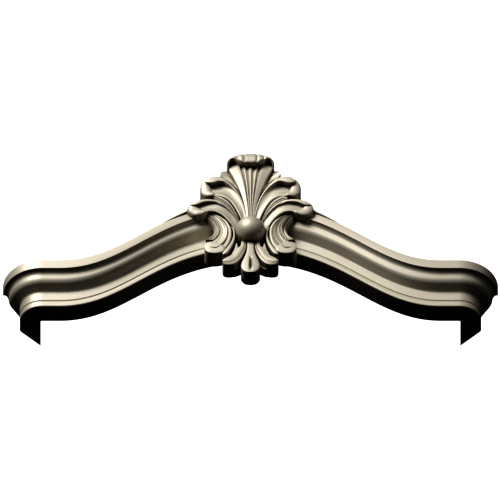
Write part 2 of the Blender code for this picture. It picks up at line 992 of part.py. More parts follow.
def make_cartouche(material):
    """The carving as one solid, fitted over the moulding with a small gap."""
    cartouche = named_part("cartouche", blade_shape(GROUND, 1, 0.0), material)
    group = bpy.data.collections.new("carving")
    bpy.context.scene.collection.children.link(group)
    blades = [(blade, 1) for blade in (FAN, FAN_LIP, DROP)]
    blades += [(blade, side) for blade in SIDE_BLADES for side in (-1, 1)]
    members = [helper("boss", boss_shape())]
    for number, (blade, side) in enumerate(blades, 1):
        members.append(helper(f"{blade.name}_{number}", blade_shape(blade, side, number * STAGGER)))
    for member in members:
        bpy.context.scene.collection.objects.unlink(member)
        group.objects.link(member)
    boolean(cartouche, "UNION", group=group)
    reach = CARTOUCHE_HEIGHT
    slab = box_shape((-reach, -BACK_INSET, -reach), (reach, reach, reach))
    boolean(cartouche, "DIFFERENCE", other=helper("back_cut", slab))
    boolean(cartouche, "DIFFERENCE", other=helper("cope", moulding_shape(COPE_GAP)))
    return cartouche


def main():
    for old in list(bpy.data.objects):
        bpy.data.objects.remove(old)
    make_cornice(lacquer("champagne_moulding", MOULDING_COLOUR, MOULDING_ROUGHNESS))
    make_cartouche(lacquer("champagne_carving", CARVING_COLOUR, CARVING_ROUGHNESS))


main()
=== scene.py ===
"""The arched cornice and its carved leaf cartouche, dressed in a satin champagne lacquer.

X runs along the moulding, Y to the back and Z up, in metres. The front faces -Y, and the camera
looks up at it from below, square on, as a joiner sees it from the floor.
"""

from __future__ import annotations

import logging
import math
from dataclasses import dataclass, field
from enum import Enum
from typing import Any, Iterable, Sequence

import bmesh
import bpy
import numpy as np
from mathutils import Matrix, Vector


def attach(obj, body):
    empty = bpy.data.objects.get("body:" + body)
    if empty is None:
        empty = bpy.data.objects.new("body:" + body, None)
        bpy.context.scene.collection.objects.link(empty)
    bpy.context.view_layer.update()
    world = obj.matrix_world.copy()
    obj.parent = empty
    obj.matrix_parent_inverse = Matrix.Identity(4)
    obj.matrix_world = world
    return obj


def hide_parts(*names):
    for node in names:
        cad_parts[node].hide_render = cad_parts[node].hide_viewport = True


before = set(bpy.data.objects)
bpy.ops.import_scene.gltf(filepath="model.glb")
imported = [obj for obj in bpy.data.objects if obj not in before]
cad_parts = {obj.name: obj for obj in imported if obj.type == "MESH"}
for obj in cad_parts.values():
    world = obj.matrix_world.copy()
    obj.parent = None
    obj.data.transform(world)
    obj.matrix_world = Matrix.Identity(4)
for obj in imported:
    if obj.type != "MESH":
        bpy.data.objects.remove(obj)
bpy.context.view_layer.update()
LOG = logging.getLogger("pediment")

Point = tuple[float, float]
Row = tuple[float, ...]

MERGE_DISTANCE = 1e-6
FLAT_DISTANCE = 1e-7
POINTED_END = 1e-3


class Side(Enum):
    """The two halves of the pediment, by the sign of their X."""

    LEFT = -1
    RIGHT = 1


class Signal:
    """One node socket's value, on which Python's operators add Math nodes."""

    def __init__(self, tree: bpy.types.NodeTree, socket: bpy.types.NodeSocket) -> None:
        """Wraps an output socket of a tree."""
        self.tree = tree
        self.socket = socket

    def _math(self, operation: str, first: Any, second: Any) -> Signal:
        """Adds one Math node.

        Args:
            operation: the Math node's operation.
            first: a signal or a number for its first input.
            second: a signal or a number for its second input.

        Returns:
            The result.
        """
        node = self.tree.nodes.new("ShaderNodeMath")
        node.operation = operation
        for socket, value in zip(node.inputs, (first, second)):
            if isinstance(value, Signal):
                self.tree.links.new(value.socket, socket)
            else:
                socket.default_value = value
        return Signal(self.tree, node.outputs[0])

    def __add__(self, other: Any) -> Signal:
        """Sum."""
        return self._math("ADD", self, other)

    def __radd__(self, other: Any) -> Signal:
        """Sum with a number on the left."""
        return self._math("ADD", other, self)

    def __sub__(self, other: Any) -> Signal:
        """Difference."""
        return self._math("SUBTRACT", self, other)

    def __rsub__(self, other: Any) -> Signal:
        """Difference from a number."""
        return self._math("SUBTRACT", other, self)

    def __mul__(self, other: Any) -> Signal:
        """Product."""
        return self._math("MULTIPLY", self, other)

    def __rmul__(self, other: Any) -> Signal:
        """Product with a number on the left."""
        return self._math("MULTIPLY", other, self)

    def __truediv__(self, other: Any) -> Signal:
        """Quotient."""
        return self._math("DIVIDE", self, other)

    def at_most(self, other: Any) -> Signal:
        """The lesser of the two."""
        return self._math("MINIMUM", self, other)

    def at_least(self, other: Any) -> Signal:
        """The greater of the two."""
        return self._math("MAXIMUM", self, other)

    def floored(self) -> Signal:
        """The whole number below."""
        return self._math("FLOOR", self, 0.0)


@dataclass
class Nodes:
    """Adds nodes to one tree, a material's or a geometry's."""

    tree: bpy.types.NodeTree

    def add(self, kind: str, settings: dict[str, Any] | None = None, **values: Any) -> bpy.types.Node:
        """Adds a node.

        Args:
            kind: the node's type name.
            settings: its own settings.
            **values: a value, signal or socket for each input, by name with _ for a space.

        Returns:
            The node.
        """
        node = self.tree.nodes.new(kind)
        for name, value in (settings or {}).items():
            setattr(node, name, value)
        for name, value in values.items():
            wanted = name.replace("_", " ").lower()
            socket = next(s for s in node.inputs if s.name.lower() == wanted and s.enabled)
            self.put(socket, value)
        return node

    def put(self, socket: bpy.types.NodeSocket, value: Any) -> None:
        """Links a signal or a socket to an input, or sets the input's value."""
        if isinstance(value, Signal):
            self.tree.links.new(value.socket, socket)
        elif isinstance(value, bpy.types.NodeSocket):
            self.tree.links.new(value, socket)
        else:
            socket.default_value = value

    def signal(self, node: bpy.types.Node, output: str | int = 0) -> Signal:
        """An output of a node as a signal."""
        return Signal(self.tree, node.outputs[output])


@dataclass(frozen=True)
class ChampagneLacquer:
    """A satin metallic lacquer over carved wood, with painted shade darkening its hollows and the faces that
    look down.

    A face gets painted shade once it looks down more steeply than under_start, and an edge is worn once
    it is more pointed than worn_start.
    """

    name: str
    light: Row = (0.80, 0.74, 0.62)
    warm: Row = (0.74, 0.675, 0.545)
    # Painted shade colour, mixed into the hollows and under the faces that look down.
    painted_shade: Row = (0.020, 0.012, 0.005)
    rubbed: Row = (0.88, 0.83, 0.73)
    hollow_shade_share: float = 1.7
    hollow_shade_reach: float = 0.017
    under_start: float = 0.76
    under_rate: float = 4.0
    under_share: float = 0.75
    worn_start: float = 0.53
    worn_rate: float = 9.0
    worn_share: float = 0.55
    metallic: float = 0.45
    roughness: float = 0.56
    coat: float = 0.12
    coat_roughness: float = 0.45
    brush_height: float = 0.00004

    def build(self) -> bpy.types.Material:
        """Makes the material.

        Returns:
            The lacquer, patterned on the piece's own coordinates.
        """
        material = bpy.data.materials.new(self.name)
        material.use_nodes = True
        tree = material.node_tree
        nodes = Nodes(tree)
        shader = tree.nodes["Principled BSDF"]
        place = nodes.add("ShaderNodeTexCoord").outputs["Object"]
        cloud = nodes.add("ShaderNodeTexNoise", Vector=place, Scale=9.0, Detail=4.0, Roughness=0.55)
        fleck = nodes.add("ShaderNodeTexNoise", Vector=place, Scale=260.0, Detail=3.0, Roughness=0.6)
        streaks = nodes.add("ShaderNodeMapping", Vector=place, Scale=(60.0, 420.0, 420.0))
        brush = nodes.add("ShaderNodeTexNoise", Vector=streaks.outputs[0], Scale=1.0, Detail=3.0)
        tone = nodes.signal(cloud)
        body = self._mix(nodes, (tone - 0.35) * 2.2, self.warm, self.light)
        # Painted shade in the hollows: ambient occlusion darkens creases and recesses, where shade falls.
        open_sky = nodes.add(
            "ShaderNodeAmbientOcclusion",
            {"samples": 6, "only_local": False},
            Distance=self.hollow_shade_reach,
        )
        shut = 1.0 - nodes.signal(open_sky, "AO")
        hollow = (shut * shut * (0.8 + nodes.signal(fleck) * 0.6) * self.hollow_shade_share).at_most(1.0)
        surface = nodes.add("ShaderNodeNewGeometry")
        facing = nodes.add("ShaderNodeSeparateXYZ", Vector=surface.outputs["Normal"])
        # Painted shade under the faces that look down, where no light comes from below.
        steep = (-self.under_start - nodes.signal(facing, "Z")) * self.under_rate
        shaded = (hollow + steep.at_least(0.0).at_most(self.under_share)).at_most(1.0)
        # The body colour darkened towards the shade colour by both painted shade masks.
        shade_painted_colour = self._mix(nodes, shaded, body, self.painted_shade)
        point = nodes.signal(surface, "Pointiness")
        worn = ((point - self.worn_start) * self.worn_rate).at_least(0.0).at_most(self.worn_share)
        colour = self._mix(nodes, worn, shade_painted_colour, self.rubbed)
        nodes.put(shader.inputs["Base Color"], colour)
        rough = self.roughness + (nodes.signal(brush) - 0.5) * 0.10 + hollow * 0.25 - worn * 0.08
        nodes.put(shader.inputs["Roughness"], rough)
        nodes.put(shader.inputs["Metallic"], (self.metallic - hollow * 0.5).at_least(0.0))
        height = nodes.signal(brush) * 0.7 + nodes.signal(fleck) * 0.5
        bump = nodes.add("ShaderNodeBump", Height=height, Distance=self.brush_height, Strength=0.5)
        nodes.put(shader.inputs["Normal"], bump.outputs[0])
        shader.inputs["Coat Weight"].default_value = self.coat
        shader.inputs["Coat Roughness"].default_value = self.coat_roughness
        return material

    @staticmethod
    def _mix(nodes: Nodes, factor: Signal, first: Any, second: Any) -> bpy.types.NodeSocket:
        """Mixes two colours by a factor."""
        node = nodes.add("ShaderNodeMix", {"data_type": "RGBA", "clamp_factor": True})
        nodes.put(node.inputs[0], factor)
        for socket, value in ((node.inputs[6], first), (node.inputs[7], second)):
            nodes.put(socket, (*value, 1.0) if isinstance(value, tuple) else value)
        return node.outputs[2]


def arc(centre: Point, radius: float, start: float, end: float, spans: int) -> list[Point]:
    """Points of a circular arc in the plane of the moulding's profile, angles in radians."""
    angles = [start + (end - start) * step / spans for step in range(spans + 1)]
    return [(centre[0] + radius * math.cos(a), centre[1] + radius * math.sin(a)) for a in angles]


def eased(
    points: Sequence[Point],
    radius: float,
    spans: int = 3,
    least_turn: float = math.radians(25),
    side_share: float = 0.45,
) -> list[Point]:
    """Rounds the sharp corners of an open line.

    Args:
        points: the line.
        radius: how far along both sides a corner is rounded back, at most.
        spans: the spans of each rounding.
        least_turn: how far the line must turn at a corner that is rounded.
        side_share: the most that a rounding takes of the shorter side.

    Returns:
        The line with its corners rounded.
    """
    line = [points[0]]
    for before, corner, after in zip(points, points[1:], points[2:]):
        back, ahead = Vector(before) - Vector(corner), Vector(after) - Vector(corner)
        if math.pi - back.angle(ahead) < least_turn:
            line.append(corner)
            continue
        reach = min(radius, back.length * side_share, ahead.length * side_share)
        first = Vector(corner) + back.normalized() * reach
        last = Vector(corner) + ahead.normalized() * reach
        for step in range(spans + 1):
            t = step / spans
            spot = first * (1 - t) ** 2 + Vector(corner) * 2 * t * (1 - t) + last * t**2
            line.append((spot.x, spot.y))
    line.append(points[-1])
    return line


def as_object(name: str, mesh: bpy.types.Mesh, material: bpy.types.Material | None) -> bpy.types.Object:
    """Puts a mesh in the scene as an object of its own, with one material."""
    if material:
        mesh.materials.clear()
        mesh.materials.append(material)
    made = bpy.data.objects.new(name, mesh)
    bpy.context.scene.collection.objects.link(made)
    return made


def stands_for(piece: bpy.types.Object, node: str) -> None:
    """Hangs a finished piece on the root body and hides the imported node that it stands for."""
    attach(piece, "root")
    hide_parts(node)
    LOG.info("%s: %d faces, stands for %s", piece.name, len(piece.data.polygons), node)


@dataclass
class Cornice:
    """The arched crown moulding, its two turned corners and its two mitred returns."""

    finish: ChampagneLacquer
    clear_width: float = 0.900
    arch_rise: float = 0.1754
    level_end: float = 0.042
    height: float = 0.1035
    top_projection: float = 0.081
    band_projection: float = 0.045
    band_height: float = 0.0388
    fascia_height: float = 0.0235
    top_cove: float = 0.012
    ovolo: float = 0.0175
    ovolo_step: float = 0.0005
    ovolo_end: float = math.radians(58.4)
    lower_cove: float = 0.006
    edge_round: float = 0.0035
    groove_height: float = 0.0167
    groove_depth: float = 0.0022
    corner_fillet: float = 0.0025
    return_length: float = 0.0755
    crest_reach: float = 0.190
    crest_height: float = 0.006
    crest_overhang: float = 0.006
    arch_handles: Point = (0.3579, 0.5156)
    arris: float = 0.0007
    arch_spans: int = 150
    corner_spans: int = 22
    edge_spans: int = 6
    ovolo_spans: int = 12
    top_spans: int = 9
    halvings: int = 50
    crease: float = math.radians(32)

    @property
    def underside(self) -> float:
        """The height of the level ends' underside."""
        return -self.height / 2 - self.arch_rise

    def profile(self) -> list[tuple[Point, Point]]:
        """The moulding's closed section, from its back lower corner forwards and up.

        Returns:
            For each point its (projection, height), and how much of the crest's overhang and
            height it takes.
        """
        slope = self.ovolo_end
        front = self.band_projection
        round_centre = (front - self.edge_round, self.edge_round)
        edge = arc(round_centre, self.edge_round, -math.pi / 2, 0, self.edge_spans)
        groove = [
            (front, self.groove_height - self.groove_depth),
            (front - self.groove_depth, self.groove_height),
            (front, self.groove_height + self.groove_depth),
        ]
        hollow = (front + self.lower_cove, self.band_height)
        cove = arc(hollow, self.lower_cove, math.pi, math.pi - slope, self.edge_spans)
        foot = self.top_projection - self.top_cove
        middle = foot - self.ovolo_step - self.ovolo
        run = middle + self.ovolo * math.cos(slope) - cove[-1][0]
        start = cove[-1][1] + run / math.tan(slope)
        bulge = (middle, start + self.ovolo * math.sin(slope))
        ovolo = arc(bulge, self.ovolo, -slope, 0, self.ovolo_spans)
        arris = self.height - self.fascia_height
        bend = (self.top_projection, arris - self.top_cove)
        top = arc(bend, self.top_cove, math.pi, math.pi / 2, self.top_spans)
        crown = (self.top_projection, self.height)
        line = eased([(0.0, 0.0)] + edge + groove + cove + ovolo + top + [crown], self.arris)
        section = [(point, (0.0, 0.0)) for point in line]
        section += [(crown, (1.0, 0.0)), (crown, (1.0, 1.0)), ((0.0, self.height), (0.0, 1.0))]
        return section + section[:1]

    def lift(self, x: float) -> float:
        """How far the moulding has climbed at x, between its level end and the crown."""
        ends = self.clear_width / 2 - self.level_end
        if abs(x) >= ends:
            return 0.0
        low_handle, high_handle = (ends * share for share in self.arch_handles)
        want, low, high = ends - abs(x), 0.0, 1.0
        for _ in range(self.halvings):
            t = (low + high) / 2
            reach = 3 * (1 - t) ** 2 * t * low_handle + 3 * (1 - t) * t**2 * high_handle + t**3 * ends
            low, high = (t, high) if reach < want else (low, t)
        return self.arch_rise * (3 * (1 - t) * t**2 + t**3)

    def path(self) -> list[dict[str, Any]]:
        """The stations along the moulding's back line.

        Returns:
            For each its foot, the direction outwards, the slant of its cut and its crest share.
        """
        half = self.clear_width / 2 - self.corner_fillet
        stations: list[dict[str, Any]] = []
        for side in (-1, 1):
            turn = []
            for step in range(self.corner_spans + 1):
                angle = math.pi / 2 * step / self.corner_spans
                out = Vector((side * math.sin(angle), -math.cos(angle), 0))
                foot = Vector((side * half, self.corner_fillet, 0)) + out * self.corner_fillet
                turn.append({"foot": foot, "out": out, "slant": Vector(), "crest": 0.0})
            end = Vector((side * self.clear_width / 2, self.return_length, 0))
            turn.append({"foot": end, "out": Vector((side, 0, 0)), "slant": Vector((0, -1, 0)), "crest": 0.0})
            stations += turn[::-1] if side < 0 else turn
            for step in range(1, self.arch_spans if side < 0 else 0):
                x = half * (2 * step / self.arch_spans - 1)
                share = min(1.0, 2 * max(0.0, 1 - abs(x) / self.crest_reach))
                foot = Vector((x, 0, self.lift(x)))
                crest = math.sin(math.pi / 2 * share)
                stations.append({"foot": foot, "out": Vector((0, -1, 0)), "slant": Vector(), "crest": crest})
        for station in stations:
            station["foot"].z += self.underside
        return stations

    def _points(
        self, name: str, spots: Iterable[Vector], values: dict[str, Sequence[Any]]
    ) -> bpy.types.Object:
        """A mesh of loose points that carries named values.

        Args:
            name: the object's name.
            spots: the points' places.
            values: for each name a number or a vector for every point.

        Returns:
            The object.
        """
        mesh = bpy.data.meshes.new(name)
        mesh.from_pydata([tuple(spot) for spot in spots], [], [])
        for key, row in values.items():
            if isinstance(row[0], Vector):
                attribute = mesh.attributes.new(key, "FLOAT_VECTOR", "POINT")
                attribute.data.foreach_set("vector", [c for v in row for c in v])
            else:
                attribute = mesh.attributes.new(key, "FLOAT", "POINT")
                attribute.data.foreach_set("value", list(row))
        return as_object(name, mesh, None)

    def sweep_tree(self) -> bpy.types.NodeTree:
        """The geometry tree that runs the section along the stations.

        Returns:
            The tree. Its inputs are the stations, the section, the crest's sizes and the finish.
        """
        tree = bpy.data.node_groups.new("moulding_sweep", "GeometryNodeTree")
        face = tree.interface
        face.new_socket("Stations", in_out="INPUT", socket_type="NodeSocketGeometry")
        face.new_socket("Section", in_out="INPUT", socket_type="NodeSocketObject")
        face.new_socket("Crest Height", in_out="INPUT", socket_type="NodeSocketFloat")
        face.new_socket("Crest Overhang", in_out="INPUT", socket_type="NodeSocketFloat")
        face.new_socket("Finish", in_out="INPUT", socket_type="NodeSocketMaterial")
        face.new_socket("Moulding", in_out="OUTPUT", socket_type="NodeSocketGeometry")
        nodes = Nodes(tree)
        given = nodes.add("NodeGroupInput").outputs
        section = nodes.add("GeometryNodeObjectInfo", Object=given["Section"]).outputs["Geometry"]
        length = nodes.signal(nodes.add("GeometryNodeAttributeDomainSize", Geometry=given["Stations"]))
        girth = nodes.signal(nodes.add("GeometryNodeAttributeDomainSize", Geometry=section))
        sheet = nodes.add("GeometryNodeMeshGrid", Vertices_X=length, Vertices_Y=girth)
        index = nodes.signal(nodes.add("GeometryNodeInputIndex"))
        station = ((index + 0.5) / girth).floored()
        spot = index - station * girth

        def sampled(source: Any, kind: str, value: Any, at: Signal) -> Signal:
            """One value of the points of a geometry, by their number."""
            node = nodes.add("GeometryNodeSampleIndex", {"data_type": kind}, Geometry=source, Index=at)
            nodes.put(next(s for s in node.inputs if s.name == "Value" and s.enabled), value)
            return nodes.signal(node)

        def named(key: str, kind: str) -> Any:
            """A named value of the points."""
            node = nodes.add("GeometryNodeInputNamedAttribute", {"data_type": kind}, Name=key)
            return next(s for s in node.outputs if s.name == "Attribute" and s.enabled)

        def scaled(vector: Signal, factor: Signal) -> Any:
            """A vector times a number."""
            node = nodes.add("ShaderNodeVectorMath", {"operation": "SCALE"}, Vector=vector, Scale=factor)
            return node.outputs[0]

        place = nodes.add("GeometryNodeInputPosition").outputs[0]
        foot = sampled(given["Stations"], "FLOAT_VECTOR", place, station)
        out = sampled(given["Stations"], "FLOAT_VECTOR", named("out", "FLOAT_VECTOR"), station)
        slant = sampled(given["Stations"], "FLOAT_VECTOR", named("slant", "FLOAT_VECTOR"), station)
        crest = sampled(given["Stations"], "FLOAT", named("crest", "FLOAT"), station)
        forward = sampled(section, "FLOAT", named("forward", "FLOAT"), spot)
        upward = sampled(section, "FLOAT", named("upward", "FLOAT"), spot)
        at = nodes.add("ShaderNodeSeparateXYZ", Vector=sampled(section, "FLOAT_VECTOR", place, spot))
        overhang = Signal(tree, given["Crest Overhang"])
        rise = Signal(tree, given["Crest Height"])
        projection = nodes.signal(at, "X") + overhang * crest * forward
        height = nodes.add("ShaderNodeCombineXYZ", Z=nodes.signal(at, "Z") + rise * crest * upward)
        result: Any = foot
        for part in (scaled(out, projection), scaled(slant, projection), height.outputs[0]):
            node = nodes.add("ShaderNodeVectorMath", {"operation": "ADD"})
            nodes.put(node.inputs[0], result)
            nodes.put(node.inputs[1], part)
            result = node.outputs[0]
        moved = nodes.add("GeometryNodeSetPosition", Geometry=sheet.outputs["Mesh"], Position=result)
        merged = nodes.add("GeometryNodeMergeByDistance", Geometry=moved.outputs[0], Distance=MERGE_DISTANCE)
        whole = nodes.add("GeometryNodeRealizeInstances", Geometry=merged.outputs[0])
        dressed = nodes.add("GeometryNodeSetMaterial", Geometry=whole.outputs[0], Material=given["Finish"])
        nodes.add("NodeGroupOutput", Moulding=dressed.outputs[0])
        return tree

    def build(self) -> bpy.types.Object:
        """Makes the moulding and dresses it.

        Returns:
            The finished piece.
        """
        stations, section = self.path(), self.profile()
        rows = {key: [s[key] for s in stations] for key in ("out", "slant", "crest")}
        piece = self._points("arched_moulding", [s["foot"] for s in stations], rows)
        crest = {"forward": [share[0] for _, share in section], "upward": [share[1] for _, share in section]}
        outline = self._points("moulding_section", [Vector((p[0], 0, p[1])) for p, _ in section], crest)
        material = self.finish.build()
        values = {
            "Section": outline,
            "Crest Height": self.crest_height,
            "Crest Overhang": self.crest_overhang,
            "Finish": material,
        }
        mesh = evaluated(piece, self.sweep_tree(), values)
        bpy.data.objects.remove(outline)
        self._close(mesh)
        mesh.materials.clear()
        mesh.materials.append(material)
        mesh.shade_smooth()
        mesh.set_sharp_from_angle(angle=self.crease)
        piece.data = mesh
        stands_for(piece, "cornice")
        return piece

    @staticmethod
    def _close(mesh: bpy.types.Mesh) -> None:
        """Fills the two mitred ends and turns every face outwards."""
        work = bmesh.new()
        work.from_mesh(mesh)
        bmesh.ops.remove_doubles(work, verts=work.verts, dist=MERGE_DISTANCE)
        bmesh.ops.dissolve_degenerate(work, edges=work.edges, dist=FLAT_DISTANCE)
        rim = [edge for edge in work.edges if edge.is_boundary]
        bmesh.ops.holes_fill(work, edges=rim, sides=0)
        bmesh.ops.recalc_face_normals(work, faces=work.faces)
        work.to_mesh(mesh)
        work.free()


def evaluated(piece: bpy.types.Object, tree: bpy.types.NodeTree, values: dict[str, Any]) -> bpy.types.Mesh:
    """Runs a geometry tree on a piece and turns the result into a plain mesh.

    Args:
        piece: the object that gives the tree its geometry.
        tree: the geometry tree.
        values: the tree's inputs, by name.

    Returns:
        The mesh, once the modifier is gone.
    """
    modifier = piece.modifiers.new(tree.name, "NODES")
    modifier.node_group = tree
    for item in tree.interface.items_tree:
        if item.item_type == "SOCKET" and item.in_out == "INPUT" and item.name in values:
            modifier[item.identifier] = values[item.name]
    graph = bpy.context.evaluated_depsgraph_get()
    mesh = bpy.data.meshes.new_from_object(piece.evaluated_get(graph), depsgraph=graph)
    mesh.name = piece.name
    piece.modifiers.remove(modifier)
    return mesh


def knots_of(points: np.ndarray) -> np.ndarray:
    """The running length at each point of a line."""
    gaps = np.linalg.norm(np.diff(points[:, :3], axis=0), axis=1)
    return np.concatenate([[0], np.cumsum(gaps)])


def flowing_line(points: np.ndarray, knots: np.ndarray, count: int) -> np.ndarray:
    """Points on the smooth curve that passes through the given ones.

    Args:
        points: rows of numbers, the curve's given points.
        knots: how far along the curve each given point lies.
        count: how many evenly spaced points are wanted.

    Returns:
        The rows of the curve.
    """
    slopes = np.gradient(points, knots, axis=0)
    at = np.linspace(0, knots[-1], count)
    index = np.clip(np.searchsorted(knots, at, side="right") - 1, 0, len(knots) - 2)
    step = (knots[index + 1] - knots[index])[:, None]
    s = (at - knots[index])[:, None] / step
    start, end = points[index], points[index + 1]
    return (
        (1 + 2 * s) * (1 - s) ** 2 * start
        + s * (1 - s) ** 2 * step * slopes[index]
        + s**2 * (3 - 2 * s) * end
        + s**2 * (s - 1) * step * slopes[index + 1]
    )


def both_ways(*half: Row) -> tuple[Row, ...]:
    """A section given from its middle outwards, made a whole one from edge to edge."""
    left = [((1 - place) / 2, root, tip) for place, root, tip in reversed(half) if place > 0]
    return (*left, *(((1 + place) / 2, root, tip) for place, root, tip in half))


def mirrored(line: Sequence[Row]) -> tuple[Row, ...]:
    """The same line on the other side of the middle."""
    return tuple((-x, *rest) for x, *rest in line)


def across(*half: Row) -> tuple[Row, ...]:
    """A line given as far as the middle, its last point, made a whole one."""
    return (*half, *mirrored(half[-2::-1]))


@dataclass(frozen=True)
class Blade:
    """One carved leaf between two edges, or one rounded ridge along a line.

    An edge point is (x, rise, stand) in drawn millimetres from the boss's centre: x outwards, stand
    forwards, and rise the height at which a sight line from 45 degrees below through the point meets
    the boss's own plane. A ridge point has its half width as a fourth number. A section's row is a
    place from one edge to the other, 0 to 1, with the height there at the root and at the tip.
    """

    name: str
    edge: tuple[Row, ...]
    other: tuple[Row, ...] = ()
    section: tuple[Row, ...] = ()
    swell: Point = (0.0, 0.0)
    slit: float = 0.0
    notches: tuple[float, ...] = ()
    notch_depth: float = 0.0
    notch_width: float = 1.8
    ease: float = 1.4
    ease_share: float = 0.3
    rim_places: Point = (0.004, 0.012)
    fullness: float = 3.0
    slit_middle: float = 0.64
    slit_reach: float = 0.2
    end_share: float = 0.1
    full_share: float = 0.45
    softness: float = 0.018
    rows: int = 60
    columns: int = 28
    section_spans: int = 6

    def edges(self) -> tuple[np.ndarray, np.ndarray]:
        """Both edges as (x, z, stand) rows; a ridge's are worked out from its line and widths."""
        one = np.array(self.edge, float)
        if self.other:
            two = np.array(self.other, float)
            knots = (knots_of(one) + knots_of(two)) / 2
            return tuple(self._flat(flowing_line(points, knots, self.rows + 1)) for points in (one, two))
        line = flowing_line(one, knots_of(one), self.rows + 1)
        half = line[:, 3] * self._ends_rounding()
        line = self._flat(line)
        run = np.gradient(line[:, :2], axis=0)
        run /= np.linalg.norm(run, axis=1)[:, None]
        side = np.stack([-run[:, 1], run[:, 0], np.zeros(len(run))], axis=1) * half[:, None]
        return line - side, line + side

    @staticmethod
    def _flat(points: np.ndarray) -> np.ndarray:
        """(x, rise, stand) made (x, z, stand)."""
        return np.stack([points[:, 0], points[:, 1] - points[:, 2], points[:, 2]], axis=1)

    def _along(self) -> np.ndarray:
        """How far along the blade each row lies, from 0 to 1."""
        return np.linspace(0, 1, self.rows + 1)

    def _ends_rounding(self) -> np.ndarray:
        """The share of its width that a ridge has at each row, round at both ends."""
        t = self._along()
        from_end = np.clip(np.minimum(t, 1 - t) / self.end_share, 0, 1)
        return np.sqrt(1 - (1 - from_end) ** 2)

    def _across(self) -> np.ndarray:
        """The places of the columns from edge to edge, close together at the section's corners."""
        if not self.section:
            return (1 - np.cos(np.linspace(0, math.pi, self.columns + 1))) / 2
        places = [row[0] for row in self.section]
        spans = [np.linspace(a, b, self.section_spans + 1)[:-1] for a, b in zip(places, places[1:])]
        rim = np.array(self.rim_places)
        return np.unique(np.concatenate([*spans, [1.0], rim, 1 - rim]))

    def _relief(self, v: np.ndarray, t: np.ndarray) -> np.ndarray:
        """The section's height over the whole blade, its corners a little softened."""
        if not self.section:
            return np.zeros((len(t), len(v)))
        places, root, tip = (np.array(column) for column in zip(*self.section))

        def eased_height(heights: np.ndarray) -> np.ndarray:
            """One section's heights at the columns."""
            low, high = (np.interp(v + shift, places, heights) for shift in (-self.softness, self.softness))
            return (low + high + 2 * np.interp(v, places, heights)) / 4

        return eased_height(root)[None] * (1 - t) + eased_height(tip)[None] * t

    def front(self) -> np.ndarray:
        """The carved face as rows of (x, z, stand) points."""
        first, second = self.edges()
        v = self._across()
        t = self._along()[:, None]
        grid = first[:, None] * (1 - v[None, :, None]) + second[:, None] * v[None, :, None]
        width = np.linalg.norm(first - second, axis=1)
        narrow = np.clip(width / (width.max() * self.full_share), 0, 1)[:, None]
        round_over = (np.clip(1 - np.abs(2 * v - 1) ** self.fullness, 0, 1) ** (1 / self.fullness))[None]
        grid[..., 2] += (self.swell[0] * (1 - t) + self.swell[1] * t) * narrow * round_over
        grid[..., 2] += self._relief(v, t) * narrow
        for notch in self.notches:
            near = np.exp(-(((np.abs(grid[..., 0]) - notch) / self.notch_width) ** 2))
            grid[..., 2] -= self.notch_depth * near
        if self.slit:
            along = np.clip(1 - ((t - self.slit_middle) / self.slit_reach) ** 2, 0, 1)
            grid[..., 2] -= self.slit * along * np.clip(1 - np.abs(2 * v - 1) / self.slit_reach, 0, 1)
        near = np.minimum(v, 1 - v)[None] * width[:, None]
        ease = np.minimum(self.ease, width[:, None] * self.ease_share + MERGE_DISTANCE)
        inside = np.clip(1 - near / ease, 0, 1)
        grid[..., 2] -= ease * (1 - np.sqrt(1 - inside**2))
        return grid


